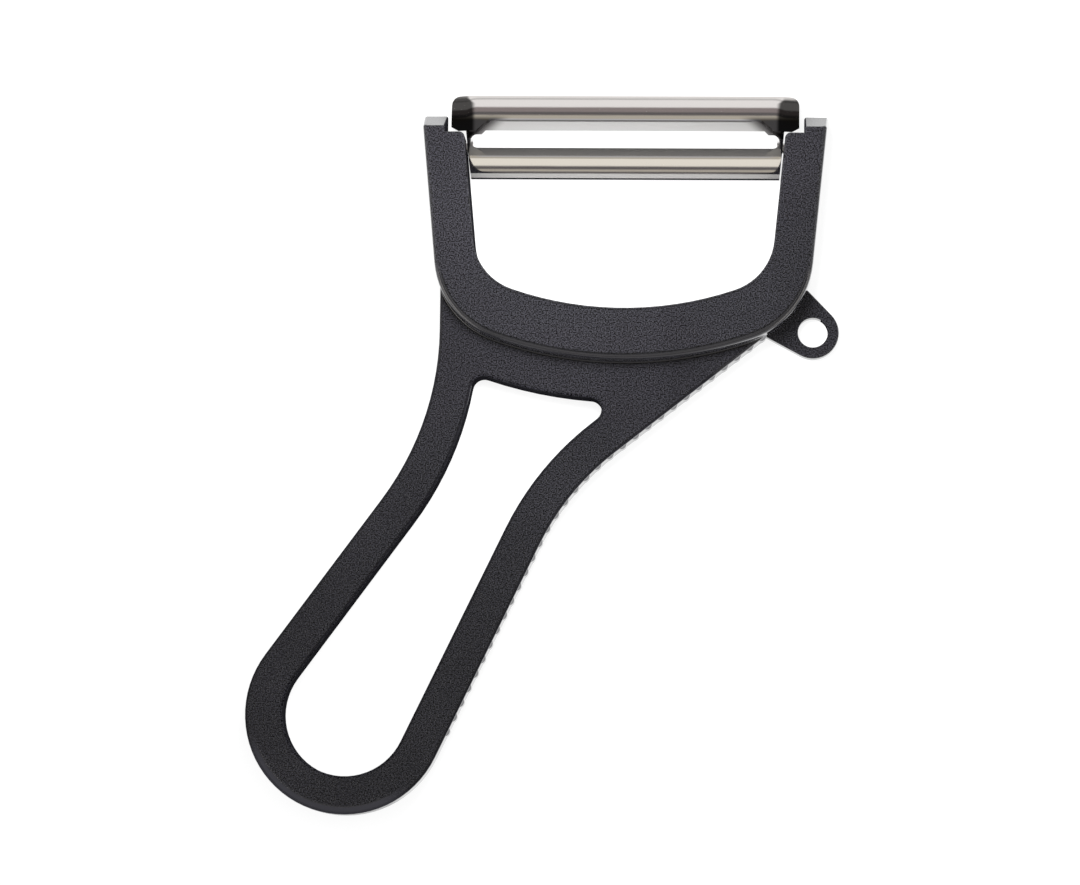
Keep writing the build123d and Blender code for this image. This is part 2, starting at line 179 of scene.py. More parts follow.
WHITE = (1.0, 1.0, 1.0, 1.0)
BRIGHT = (0.95, 0.92, 0.90)
WARM = (0.93, 0.88, 0.78)
SAND = (0.50, 0.46, 0.39)
BROWN = (0.28, 0.24, 0.235)
DIM = (0.13, 0.12, 0.12)
GREY = (0.50, 0.50, 0.51)
SHADE = (0.60, 0.58, 0.57)

# Degrees from straight up towards +Y, and the card's tone there
STUDIO_CARDS = (
    (-79.0, BRIGHT),
    (-77.0, DIM), (-74.5, DIM),
    (-72.5, SAND), (-70.0, SAND),
    (-68.0, DIM), (-63.5, DIM),
    (-60.5, WARM), (-47.0, WARM),
    (-45.0, SAND), (-40.0, SAND),
    (-30.0, GREY), (-14.0, GREY),
    (-9.0, DIM), (1.0, DIM),
    (6.0, GREY), (22.0, GREY),
    (27.0, SAND), (34.0, SAND),
    (36.5, DIM), (40.5, DIM),
    (43.0, BROWN), (50.5, BROWN),
    (53.0, BRIGHT), (68.5, BRIGHT),
    (69.5, SHADE), (72.0, SHADE),
    (73.5, BRIGHT),
)


class PeelerPlastic(bpy.types.PropertyGroup):
    """Moulded plastic of the handle."""
    colour: bpy.props.FloatVectorProperty(
        name="Colour", description="Colour of the moulded plastic", subtype="COLOR", size=3,
        min=0.0, max=1.0, default=(0.0103, 0.0101, 0.0123))
    face_roughness: bpy.props.FloatProperty(
        name="Face roughness", description="Roughness of the grained front and back faces", subtype="FACTOR",
        min=0.0, max=1.0, default=0.34)
    wall_roughness: bpy.props.FloatProperty(
        name="Wall roughness", description="Roughness of the smooth side walls", subtype="FACTOR",
        min=0.0, max=1.0, default=0.2)
    grain_size: bpy.props.FloatProperty(
        name="Grain size", description="Width of one grain of the moulded texture", subtype="DISTANCE",
        unit="LENGTH", min=0.00005, max=0.002, default=0.0002)
    grain_depth: bpy.props.FloatProperty(
        name="Grain depth", description="Depth of the moulded texture", subtype="DISTANCE",
        unit="LENGTH", min=0.0, max=0.0005, default=0.00025)


class PeelerSteel(bpy.types.PropertyGroup):
    """Steel of the blade and pins."""
    colour: bpy.props.FloatVectorProperty(
        name="Colour", description="Colour of the polished steel", subtype="COLOR", size=3,
        min=0.0, max=1.0, default=(0.78, 0.77, 0.765))
    polish_roughness: bpy.props.FloatProperty(
        name="Polished roughness", description="Roughness of the polished sheet", subtype="FACTOR",
        min=0.0, max=1.0, default=0.06)
    ground_roughness: bpy.props.FloatProperty(
        name="Ground roughness", description="Roughness of the two ground edges", subtype="FACTOR",
        min=0.0, max=1.0, default=0.42)
    tilt: bpy.props.FloatProperty(
        name="Tilt", description="How far the blade leans in the rest pose", subtype="ANGLE",
        unit="ROTATION", default=math.radians(11.0))
    slot_rise: bpy.props.FloatProperty(
        name="Slot rise", description="Height of the slot's centre over the pivot, along the blade",
        subtype="DISTANCE", unit="LENGTH", default=0.0013)
    lip: bpy.props.FloatProperty(
        name="Slot half height", description="Half the slot's height", subtype="DISTANCE",
        unit="LENGTH", default=0.00134)
    upper_bevel: bpy.props.FloatProperty(
        name="Upper ground width", description="Width of the ground edge above the slot", subtype="DISTANCE",
        unit="LENGTH", default=0.0016)
    lower_bevel: bpy.props.FloatProperty(
        name="Lower ground width", description="Width of the ground edge below the slot", subtype="DISTANCE",
        unit="LENGTH", default=0.00126)
    ground_half_length: bpy.props.FloatProperty(
        name="Ground half length", description="Half the length of the ground edges", subtype="DISTANCE",
        unit="LENGTH", default=0.0224)
    run_out: bpy.props.FloatProperty(
        name="Run-out", description="How far each end of the ground edges slants, to each side",
        subtype="DISTANCE", unit="LENGTH", default=0.0009)


class PeelerWing(bpy.types.PropertyGroup):
    """Upper wing of the blade, above the slot, measured from the slot's centre and the crown."""
    half_width: bpy.props.FloatProperty(
        name="Half width", description="From the middle to each end", unit="LENGTH", default=0.0272)
    height: bpy.props.FloatProperty(
        name="Height", description="From the slot's centre to the upper rim", unit="LENGTH", default=0.00678)
    end_foot: bpy.props.FloatProperty(
        name="End foot", description="Where the straight ends stop", unit="LENGTH", default=0.0020)
    hip: bpy.props.FloatProperty(
        name="Hip", description="How far the slanting foot of each end runs in", unit="LENGTH",
        default=0.00115)
    ear_half_width: bpy.props.FloatProperty(
        name="Ear half width", description="Where the ears take over", unit="LENGTH", default=0.0248)
    corner_radius: bpy.props.FloatProperty(
        name="Corner radius", description="Round of the two top corners", unit="LENGTH", default=0.0013)
    arch_radius: bpy.props.FloatProperty(
        name="Arch radius", description="Radius of the sheet's outside", unit="LENGTH", default=0.0097)
    sheet: bpy.props.FloatProperty(
        name="Sheet", description="Thickness of the sheet", unit="LENGTH", default=0.0005)
    edge: bpy.props.FloatProperty(
        name="Edge", description="What grinding leaves of the sheet", unit="LENGTH", default=0.00015)
    crown_rise: bpy.props.FloatProperty(
        name="Crown rise", description="From the pivot out to the crown", unit="LENGTH", default=0.0017)
    roll_start: bpy.props.FloatProperty(
        name="Roll start", description="Where the ends begin to bend back", unit="LENGTH", default=0.0232)
    roll_radius: bpy.props.FloatProperty(
        name="Roll radius", description="Radius of that bend", unit="LENGTH", default=0.0053)
    roll_slope: bpy.props.FloatProperty(
        name="Roll slope", description="Greatest fall of the bent ends for each unit of width", default=0.3)


class PeelerStage(bpy.types.PropertyGroup):
    """Camera, floor and light."""
    camera_place: bpy.props.FloatVectorProperty(
        name="Camera place", description="Where the camera stands", subtype="XYZ", unit="LENGTH", size=3,
        default=(0.030455, -0.0788, 0.6548))
    target: bpy.props.FloatVectorProperty(
        name="Target", description="The point in the middle of the picture", subtype="XYZ", unit="LENGTH",
        size=3, default=(-0.000545, 0.001409, 0.0048))
    roll: bpy.props.FloatProperty(
        name="Roll", description="Turn of the camera about its line of sight", subtype="ANGLE",
        unit="ROTATION", default=math.radians(0.73))
    pixel_size: bpy.props.FloatProperty(
        name="Pixel size", description="Width of one picture pixel at the target", subtype="DISTANCE",
        unit="LENGTH", default=0.000155)
    floor_size: bpy.props.FloatProperty(
        name="Floor size", description="Width of the pale floor", subtype="DISTANCE",
        unit="LENGTH", default=6.0)
    floor_colour: bpy.props.FloatVectorProperty(
        name="Floor colour", description="Colour of the pale floor", subtype="COLOR", size=3,
        min=0.0, max=1.0, default=(0.92, 0.92, 0.92))
    shadow_share: bpy.props.FloatProperty(
        name="Shadow", description="How much of the object's shadow shows on the floor", subtype="FACTOR",
        min=0.0, max=1.0, default=0.2)


def plug(tree, socket, value):
    """Fills one input with a value or with another node's output."""
    if isinstance(value, bpy.types.NodeSocket):
        tree.links.new(value, socket)
    else:
        socket.default_value = value


def feed(tree, target, **inputs):
    """Fills a node's inputs by name, each with a value or with another node's output."""
    for name, value in inputs.items():
        plug(tree, target.inputs[name.replace("_", " ")], value)


def node(tree, kind, **inputs):
    """Adds a shader node with its inputs filled."""
    added = tree.nodes.new(kind)
    feed(tree, added, **inputs)
    return added


def maths(tree, operation, *operands):
    """A Math node's output."""
    added = tree.nodes.new("ShaderNodeMath")
    added.operation = operation
    for socket, value in zip(added.inputs, operands):
        plug(tree, socket, value)
    return added.outputs["Value"]


def vector_maths(tree, operation, *operands):
    """A Vector Math node."""
    added = tree.nodes.new("ShaderNodeVectorMath")
    added.operation = operation
    for socket, value in zip(added.inputs, operands):
        plug(tree, socket, value)
    return added


def dot(tree, first, second):
    """Dot product of two vectors."""
    return vector_maths(tree, "DOT_PRODUCT", first, second).outputs["Value"]


def product(tree, first, *others):
    """All the given masks multiplied."""
    for mask in others:
        first = maths(tree, "MULTIPLY", first, mask)
    return first


def strongest(tree, first, *others):
    """The greatest of the given masks."""
    for mask in others:
        first = maths(tree, "MAXIMUM", first, mask)
    return first


def without(tree, mask):
    """A mask turned round, 1 where it is 0."""
    return maths(tree, "SUBTRACT", 1.0, mask)


def ramp(tree, value, band, ends=RISING, smooth=True):
    """Runs from the first of two ends to the other while a value crosses a band."""
    added = node(tree, "ShaderNodeMapRange", Value=value, From_Min=band[0], From_Max=band[1], To_Min=ends[0],
                 To_Max=ends[1])
    added.interpolation_type = "SMOOTHSTEP" if smooth else "LINEAR"
    return added.outputs["Result"]


def shifted(band, distance):
    """A band moved along."""
    return band[0] + distance, band[1] + distance


def blend(tree, mask, first, second, kind="FLOAT"):
    """The first of two values, colours or vectors, and the second where a mask is 1."""
    added = node(tree, "ShaderNodeMix", Factor=mask)
    added.data_type = kind
    feed(tree, added, A=first, B=second)
    return added.outputs["Result"]


def noise(tree, place, scale, detail):
    """Noise with a number of grains to a metre."""
    return node(tree, "ShaderNodeTexNoise", Vector=place, Scale=scale, Detail=detail).outputs["Fac"]


def fresh_material(name):
    """An empty node material with its shader and output; returns the material, its tree and the shader."""
    material = bpy.data.materials.new(name)
    material.use_nodes = True
    tree = material.node_tree
    tree.nodes.clear()
    shader = tree.nodes.new("ShaderNodeBsdfPrincipled")
    output = tree.nodes.new("ShaderNodeOutputMaterial")
    tree.links.new(shader.outputs["BSDF"], output.inputs["Surface"])
    return material, tree, shader


def towards_opening(tree, place, fork):
    """Positive where a wall faces into the finger loop or, at the fork, into the gap."""
    centre = blend(tree, fork, LOOP_CENTRE, GAP_CENTRE, "VECTOR")
    inward = vector_maths(tree, "SUBTRACT", centre, place.outputs["Object"])
    return dot(tree, inward.outputs["Vector"], place.outputs["Normal"])


def loop_hem(tree, place):
    """The smooth hem round the outer side of the loop's end."""
    flat = vector_maths(tree, "MULTIPLY_ADD", place.outputs["Object"], HEM_FLATTEN, -LOOP_END)
    from_end = flat.outputs["Vector"]
    spread = vector_maths(tree, "LENGTH", from_end).outputs["Value"]
    return product(tree, ramp(tree, spread, HEM_RADIUS), ramp(tree, dot(tree, from_end, HEM_SIDE), HEM_DEPTH))


def handle_masks(tree, place):
    """Where the handle is polished, hemmed, dark, smooth or bordered, as masks by name."""
    spot = node(tree, "ShaderNodeSeparateXYZ", Vector=place.outputs["Object"])
    turned = node(tree, "ShaderNodeSeparateXYZ", Vector=place.outputs["Normal"])
    upright = maths(tree, "ABSOLUTE", turned.outputs["Z"])
    rightwards = dot(tree, place.outputs["Normal"], RIGHTWARDS)
    fork = ramp(tree, spot.outputs["Y"], FORK_FOOT)
    loop = without(tree, fork)
    grip_side = product(tree, loop, ramp(tree, rightwards, PIP_TURN))
    for line, band in GRIP_LINES:
        grip_side = product(tree, grip_side, ramp(tree, dot(tree, place.outputs["Object"], line), band))
    facing_out = ramp(tree, towards_opening(tree, place, fork), OPENING_BAND, FALLING)
    outer = strongest(tree, facing_out, grip_side)
    wall = ramp(tree, upright, WALL_TILT, FALLING)
    edge = ramp(tree, upright, EDGE_TILT, FALLING)
    hem = loop_hem(tree, place)
    # Right-facing outer walls: coated, and given painted light in the plastic's base colour
    polished = product(tree, wall, outer, ramp(tree, rightwards, RIGHT_TURN), without(tree, hem))
    raised = product(tree, ramp(tree, spot.outputs["Z"], STEP_TOP),
                     ramp(tree, spot.outputs["Y"], STEP_END, FALLING))
    step = product(tree, edge, outer, raised)
    low_edge = product(tree, maths(tree, "SUBTRACT", edge, wall), loop)
    inner_wall = product(tree, wall, without(tree, outer))
    # The fork face's border at the step, which gets painted shade
    border = product(tree, ramp(tree, upright, BORDER_START), ramp(tree, upright, BORDER_STOP, FALLING),
                     raised, outer)
    return {
        "polished": polished,
        "hem": hem,
        "dark": maths(tree, "SUBTRACT", strongest(tree, low_edge, inner_wall), polished),
        "smooth": strongest(tree, wall, step, hem),
        "border": border,
    }


def moulded_plastic(settings):
    """Black moulded plastic: grained faces, smooth step and hem, dark inner walls, polished right walls;
    painted light lightens the right walls and the hem, and painted shade darkens the fork face's border at
    the step.
    """
    material, tree, shader = fresh_material("moulded_black")
    place = tree.nodes.new("ShaderNodeTexCoord")
    masks = handle_masks(tree, place)
    grained = without(tree, masks["smooth"])
    grain = noise(tree, place.outputs["Object"], 1.0 / settings.grain_size, detail=1.0)
    bump = node(tree, "ShaderNodeBump", Height=product(tree, grain, grained), Strength=1.0,
                Distance=settings.grain_depth)
    pitted = ramp(tree, grain, GRAIN_BAND, GRAIN_TONES, smooth=False)
    speckle = maths(tree, "MULTIPLY_ADD", pitted, grained, 1.0)
    cloud = ramp(tree, noise(tree, place.outputs["Object"], CLOUD_SCALE, detail=3.0), CLOUD_BAND, CLOUD_TONES)
    # The border mask darkens the face where it turns into the step: painted shade
    shade = product(tree, speckle, cloud, ramp(tree, masks["border"], RISING, PAINTED_BORDER_SHADE, smooth=False))
    # The right walls and the hem get a lighter base colour: painted light
    painted_light = strongest(tree, masks["polished"], masks["hem"])
    bright = maths(tree, "MULTIPLY_ADD", painted_light, PAINTED_LIGHT_LIFT, shade)
    tint = vector_maths(tree, "SCALE", settings.colour)
    feed(tree, tint, Scale=bright)
    plain_roughness = ramp(tree, masks["smooth"], RISING, (settings.face_roughness, settings.wall_roughness),
                           smooth=False)
    gloss = ramp(tree, masks["smooth"], RISING, GLOSS, smooth=False)
    lit = ramp(tree, masks["dark"], RISING, FALLING, smooth=False)
    feed(tree, shader, Base_Color=tint.outputs["Vector"], Normal=bump.outputs["Normal"],
         Roughness=maths(tree, "MULTIPLY_ADD", masks["dark"], DARK_ROUGHNESS, plain_roughness),
         Specular_IOR_Level=product(tree, gloss, lit), Coat_Weight=product(tree, masks["polished"], COAT),
         Coat_IOR=COAT_IOR)
    return material


def blade_space(tree, place, settings):
    """The blade's own axes: X along it and Y up from the slot's centre."""
    centre = Matrix.Rotation(-settings.tilt, 3, "X") @ PIVOT + Vector((0.0, settings.slot_rise, 0.0))
    return node(tree, "ShaderNodeMapping", Vector=place.outputs["Object"], Location=-centre,
                Rotation=(-settings.tilt, 0.0, 0.0)).outputs["Vector"]


def blade_masks(tree, space, settings):
    """Where the blade is ground, how much of its metallic look that takes, and where it is darkened: a dark
    line along the upper ground edge's back, and painted shade towards that edge's ends and over the lower
    ground edge.
    """
    split = node(tree, "ShaderNodeSeparateXYZ", Vector=space)
    across = split.outputs["Y"]
    back = settings.lip + settings.upper_bevel
    lower_back = settings.lip + settings.lower_bevel
    lean = 2.0 * settings.run_out / settings.upper_bevel
    slant = maths(tree, "MULTIPLY_ADD", across, lean, maths(tree, "ABSOLUTE", split.outputs["X"]))
    end = settings.ground_half_length + settings.run_out + lean * settings.lip
    length = ramp(tree, slant, shifted(GROUND_FADE, end), FALLING)
    above_slot = ramp(tree, across, (0.0, SLOT_BLUR))
    below_slot = ramp(tree, across, (-SLOT_BLUR, 0.0), FALLING)
    upper = product(tree, ramp(tree, across, (back - BACK_BLUR, back), FALLING), above_slot, length)
    lower = product(tree, ramp(tree, across, (-lower_back - SLOT_BLUR, -lower_back + SLOT_BLUR)), below_slot,
                    length)
    deburred = product(tree, ramp(tree, across, DEBURRED_TOP, FALLING), ramp(tree, across, DEBURRED_FOOT))
    # A dark line along the back of the upper ground edge
    dark_line = product(tree, ramp(tree, across, shifted(DARK_LINE_TOP, back), FALLING),
                   ramp(tree, across, shifted(DARK_LINE_FOOT, back)), length)
    # Painted shade over the upper ground edge towards its ends
    end_shade = product(tree, ramp(tree, across, shifted(END_SHADE_TOP, back), FALLING), above_slot,
                    ramp(tree, slant, shifted(END_SHADE_FADE, end), (0.0, END_SHADE_STRENGTH)))
    loss = ramp(tree, across, (settings.lip, back), MATT_LOSS, smooth=False)
    return {
        "ground": strongest(tree, maths(tree, "ADD", upper, lower), deburred),
        "loss": product(tree, strongest(tree, upper, deburred), loss),
        # Painted shade over the lower ground edge, with the dark line and the painted shade at the upper
        # edge's ends
        "shade_and_line": strongest(tree, product(tree, dark_line, DARK_LINE_STRENGTH), end_shade, product(tree, lower, LOWER_SHADE)),
    }


def polished_steel(settings):
    """Blade steel: fine polishing lines along the blade, and matt ground strips on both sides of the slot."""
    material, tree, shader = fresh_material("blade_steel")
    place = tree.nodes.new("ShaderNodeTexCoord")
    space = blade_space(tree, place, settings)
    masks = blade_masks(tree, space, settings)
    streak_space = node(tree, "ShaderNodeMapping", Vector=space, Scale=STREAK_STRETCH)
    streak = noise(tree, streak_space.outputs["Vector"], STREAK_SCALE, detail=2.0)
    wear = noise(tree, place.outputs["Object"], WEAR_SCALE, detail=3.0)
    polish = maths(tree, "MULTIPLY_ADD", streak, POLISH_SPREAD, settings.polish_roughness - WEAR_SPREAD)
    worn = maths(tree, "MULTIPLY_ADD", wear, WEAR_SPREAD, polish)
    matt = maths(tree, "MULTIPLY_ADD", streak, MATT_SPREAD, settings.ground_roughness - MATT_SPREAD / 2)
    lines = product(tree, streak, maths(tree, "MULTIPLY_ADD", masks["ground"], GROUND_STREAKS, 1.0))
    bump = node(tree, "ShaderNodeBump", Height=lines, Strength=STREAK_STRENGTH, Distance=STREAK_DEPTH)
    colour = blend(tree, masks["ground"], (*settings.colour, 1.0), GROUND_COLOUR, "RGBA")
    # Darkens the steel's colour with the dark line and the painted shade
    feed(tree, shader, Base_Color=blend(tree, masks["shade_and_line"], colour, SHADE_AND_LINE_COLOUR, "RGBA"),
         Metallic=without(tree, masks["loss"]), Roughness=blend(tree, masks["ground"], worn, matt),
         Normal=bump.outputs["Normal"])
    return material


def turned_steel(settings):
    """Pin steel: plain turned wire with fine rings."""
    material, tree, shader = fresh_material("pin_steel")
    place = tree.nodes.new("ShaderNodeTexCoord")
    rings = noise(tree, place.outputs["Object"], RING_SCALE, detail=2.0)
    feed(tree, shader, Base_Color=(*settings.colour, 1.0), Metallic=1.0,
         Roughness=ramp(tree, rings, RING_BAND, RING_ROUGHNESS))
    return material


def dress(name, material):
    """Gives a carried-over node its material."""
    mesh = frame["nodes"][name].data
    mesh.materials.clear()
    mesh.materials.append(material)


class PEELER_OT_handle(bpy.types.Operator):
    """Finish the moulded handle"""
    bl_idname = "peeler.handle"
    bl_label = "Handle"

    def execute(self, context):
        dress("handle", moulded_plastic(context.scene.peeler_plastic))
        return {"FINISHED"}


def arch(radius, crown, y):
    """Level of an arched surface of the sheet, from the crown of its outside."""
    return math.sqrt(radius ** 2 - y ** 2) - crown


def roll(wing, x):
    """How far the wing's bent ends lie below its middle."""
    past = max(0.0, abs(x) - wing.roll_start)
    full = wing.roll_slope * wing.roll_radius
    return min(past, full) ** 2 / (2 * wing.roll_radius) + wing.roll_slope * max(0.0, past - full)


def cut(mesh, point, normal):
    """Scores the whole mesh along a plane."""
    bmesh.ops.bisect_plane(mesh, geom=[*mesh.verts, *mesh.edges, *mesh.faces], dist=WELD, plane_co=point,
                           plane_no=normal)


def cut_columns(mesh, distances):
    """Scores the mesh upright at each distance, on both sides of the middle."""
    for distance in distances:
        for side in (-1, 1):
            cut(mesh, (side * distance, 0.0, 0.0), (1.0, 0.0, 0.0))


def wing_grid(wing, steel):
    """The wing's outline with rounded top corners, scored into a grid and along the ground edge."""
    mesh = bmesh.new()
    right = ((wing.half_width, wing.height), (wing.half_width, wing.end_foot),
             (wing.half_width - wing.hip, steel.lip), (wing.ear_half_width, steel.lip))
    outline = (*right, *((-x, y) for x, y in reversed(right)))
    face = mesh.faces.new([mesh.verts.new((x, y, 0.0)) for x, y in outline])
    tops = [v for v in face.verts if v.co.y > wing.height - WELD]
    bmesh.ops.bevel(mesh, geom=tops, affect="VERTICES", offset=wing.corner_radius, segments=CORNER_SEGMENTS,
                    profile=0.5, material=-1)
    back = steel.lip + steel.upper_bevel
    rows = round((wing.height - back) / ROW_STEP)
    for row in range(rows):
        cut(mesh, (0.0, back + row * (wing.height - back) / rows, 0.0), (0.0, 1.0, 0.0))
    columns = round(wing.roll_start / COLUMN_STEP)
    cut_columns(mesh, [column * wing.roll_start / columns for column in range(columns + 1)])
    fine_columns = round((wing.half_width - wing.roll_start) / ROLL_STEP)
    cut_columns(mesh, [wing.roll_start + column * ROLL_STEP for column in range(1, fine_columns)])
    slant = Vector((steel.upper_bevel, 2 * steel.run_out, 0.0)).normalized()
    for side in (-1, 1):
        for inset in (0.0, STEP_WIDTH):
            point = (side * (steel.ground_half_length + steel.run_out - inset), steel.lip, 0.0)
            cut(mesh, point, (side * slant.x, slant.y, 0.0))
    return mesh


def outside_level(wing, steel, x, y):
    """Level of the wing's outside, ground down to a thin edge beside the slot."""
    back = steel.lip + steel.upper_bevel
    level = arch(wing.arch_radius, wing.arch_radius, y)
    share = (y - steel.lip) / steel.upper_bevel
    border = steel.ground_half_length + steel.run_out * (1 - 2 * share)
    if y < back - WELD and abs(x) < border - STEP_WIDTH / 2:
        low = arch(wing.arch_radius, wing.arch_radius, steel.lip) - wing.sheet + wing.edge
        level = low + share * (arch(wing.arch_radius, wing.arch_radius, back) - low)
    return level


def shape_wing(wing, steel):
    """The upper wing as a closed sheet, about the slot's centre and the crown."""
    mesh = wing_grid(wing, steel)
    outside = list(mesh.verts)
    inside = bmesh.ops.extrude_face_region(mesh, geom=list(mesh.faces))["geom"]
    for vertex in inside:
        if isinstance(vertex, bmesh.types.BMVert):
            x, y, _ = vertex.co
            vertex.co.z = arch(wing.arch_radius - wing.sheet, wing.arch_radius, y) - roll(wing, x)
    for vertex in outside:
        x, y, _ = vertex.co
        vertex.co.z = outside_level(wing, steel, x, y) - roll(wing, x)
    for vertex in mesh.verts:
        vertex.co.y -= math.sin(steel.tilt) * roll(wing, vertex.co.x)
    return mesh


def add_blade(wing, steel, material):
    """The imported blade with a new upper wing, whose ends bend back over their full height."""
    seat = (Matrix.Translation(PIVOT) @ Matrix.Rotation(steel.tilt, 4, "X")
            @ Matrix.Translation((0.0, steel.slot_rise, wing.crown_rise)))
    mesh = bmesh.new()
    mesh.from_mesh(frame["nodes"]["blade"].data)
    bmesh.ops.transform(mesh, matrix=seat.inverted() @ frame["nodes"]["blade"].matrix_world, verts=mesh.verts)
    bmesh.ops.remove_doubles(mesh, verts=mesh.verts, dist=WELD)
    upper = bmesh.ops.bisect_plane(mesh, geom=[*mesh.verts, *mesh.edges, *mesh.faces], dist=WELD,
                                   plane_co=(0.0, steel.lip, 0.0), plane_no=(0.0, 1.0, 0.0), clear_outer=True)
    rims = [edge for edge in upper["geom_cut"] if isinstance(edge, bmesh.types.BMEdge)]
    bmesh.ops.holes_fill(mesh, edges=rims)
    new_wing = shape_wing(wing, steel)
    part = bpy.data.meshes.new("wing")
    new_wing.to_mesh(part)
    new_wing.free()
    mesh.from_mesh(part)
    bpy.data.meshes.remove(part)
    bmesh.ops.transform(mesh, matrix=seat, verts=mesh.verts)
    bmesh.ops.recalc_face_normals(mesh, faces=mesh.faces)
    for face in mesh.faces:
        face.smooth = True
    for edge in mesh.edges:
        edge.smooth = edge.calc_face_angle(math.pi) < CREASE
    data = bpy.data.meshes.new("swivel_blade")
    mesh.to_mesh(data)
    mesh.free()
    data.materials.append(material)
    blade = bpy.data.objects.new("swivel_blade", data)
    bpy.context.scene.collection.objects.link(blade)
    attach(blade, "blade_body")
    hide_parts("blade")


class PEELER_OT_blade(bpy.types.Operator):
    """Finish the blade and its two pivot pins"""
    bl_idname = "peeler.blade"
    bl_label = "Blade and pins"

    def execute(self, context):
        settings = context.scene.peeler_steel
        add_blade(context.scene.peeler_wing, settings, polished_steel(settings))
        pins = turned_steel(settings)
        dress("pivot_pin_left", pins)
        dress("pivot_pin_right", pins)
        return {"FINISHED"}


def floor_material(settings):
    """Pale floor that reads white beside the object and keeps a faint shadow."""
    material, tree, shader = fresh_material("pale_floor")
    feed(tree, shader, Base_Color=(*settings.floor_colour, 1.0), Roughness=FLOOR_ROUGHNESS,
         Specular_IOR_Level=0.0)
    share = settings.shadow_share
    shade = node(tree, "ShaderNodeBsdfDiffuse", Color=(share, share, share, 1.0))
    level = maths(tree, "ADD", FLOOR_LEVEL - share, floor_glow(tree))
    white = node(tree, "ShaderNodeEmission", Strength=level)
    seen = tree.nodes.new("ShaderNodeAddShader")
    tree.links.new(shade.outputs["BSDF"], seen.inputs[0])
    tree.links.new(white.outputs["Emission"], seen.inputs[1])
    mixed = node(tree, "ShaderNodeMixShader", Fac=seen_directly(tree))
    tree.links.new(shader.outputs["BSDF"], mixed.inputs[1])
    tree.links.new(seen.outputs["Shader"], mixed.inputs[2])
    tree.links.new(mixed.outputs["Shader"], tree.nodes["Material Output"].inputs["Surface"])
    return material


def floor_glow(tree):
    """Makes the floor brighter beyond the blade and darker below the fork, for polished surfaces only."""
    place = tree.nodes.new("ShaderNodeTexCoord")
    split = node(tree, "ShaderNodeSeparateXYZ", Vector=place.outputs["Object"])
    beyond = ramp(tree, split.outputs["Y"], BEYOND_BLADE, BEYOND_GLOW)
    below = ramp(tree, split.outputs["Y"], BELOW_FORK, BELOW_GLOW)
    rays = tree.nodes.new("ShaderNodeLightPath")
    return product(tree, maths(tree, "ADD", beyond, below), rays.outputs["Is Glossy Ray"])


def seen_directly(tree):
    """1 where the camera sees a surface, also in a mirror or through glass."""
    rays = tree.nodes.new("ShaderNodeLightPath")
    return strongest(tree, rays.outputs["Is Camera Ray"], rays.outputs["Is Glossy Ray"],
                     rays.outputs["Is Transmission Ray"])


def overhead_cards(tree, split):
    """Colour of the long cards that lie along X, from straight up down to both horizons."""
    pitch = maths(tree, "ARCTAN2", split.outputs["Y"], split.outputs["Z"])
    share = ramp(tree, pitch, (-math.pi / 2, math.pi / 2), smooth=False)
    cards = node(tree, "ShaderNodeValToRGB", Fac=share)
    stops = cards.color_ramp.elements
    for degrees, tone in STUDIO_CARDS:
        stop = stops.new(degrees / 180 + 0.5)
        stop.color = (*tone, 1.0)
    stops.remove(stops[0])
    stops.remove(stops[-1])
    return cards.outputs["Color"]


def card_strength(tree, split):
    """Fades the cards out at both ends, and adds a low lamp at each side."""
    side = maths(tree, "ABSOLUTE", split.outputs["X"])
    low = maths(tree, "ABSOLUTE", split.outputs["Y"])
    past_reach = maths(tree, "SUBTRACT", side, ramp(tree, low, LOW_CARDS, LOW_CARDS_REACH))
    cards = strongest(tree, ramp(tree, past_reach, CARD_ENDS, CARD_END_TONES),
                      ramp(tree, split.outputs["Y"], NEAR_SIDE, FALLING))
    lamps = product(tree, ramp(tree, side, SIDE_LAMPS),
                    ramp(tree, split.outputs["Z"], SIDE_LAMP_TOP, FALLING), SIDE_LAMP_STRENGTH)
    return maths(tree, "ADD", cards, lamps)


def studio_world():
    """Plain soft light, with long cards overhead and low side lamps that only glossy rays see."""
    world = bpy.data.worlds.new("studio")
    bpy.context.scene.world = world
    world.cycles.sampling_method = "NONE"
    world.use_nodes = True
    tree = world.node_tree
    tree.nodes.clear()
    place = tree.nodes.new("ShaderNodeTexCoord")
    split = node(tree, "ShaderNodeSeparateXYZ", Vector=place.outputs["Generated"])
    studio = node(tree, "ShaderNodeBackground", Color=overhead_cards(tree, split),
                  Strength=card_strength(tree, split))
    plain = node(tree, "ShaderNodeBackground", Color=WHITE, Strength=1.0)
    rays = tree.nodes.new("ShaderNodeLightPath")
    mixed = node(tree, "ShaderNodeMixShader", Fac=rays.outputs["Is Glossy Ray"])
    tree.links.new(plain.outputs["Background"], mixed.inputs[1])
    tree.links.new(studio.outputs["Background"], mixed.inputs[2])
    output = tree.nodes.new("ShaderNodeOutputWorld")
    tree.links.new(mixed.outputs["Shader"], output.inputs["Surface"])


def add_floor(settings):
    """A wide pale plane under the object."""
    mesh = bpy.data.meshes.new("floor")
    grid = bmesh.new()
    bmesh.ops.create_grid(grid, x_segments=1, y_segments=1, size=settings.floor_size / 2)
    grid.to_mesh(mesh)
    grid.free()
    mesh.materials.append(floor_material(settings))
    floor = bpy.data.objects.new("floor", mesh)
    bpy.context.scene.collection.objects.link(floor)


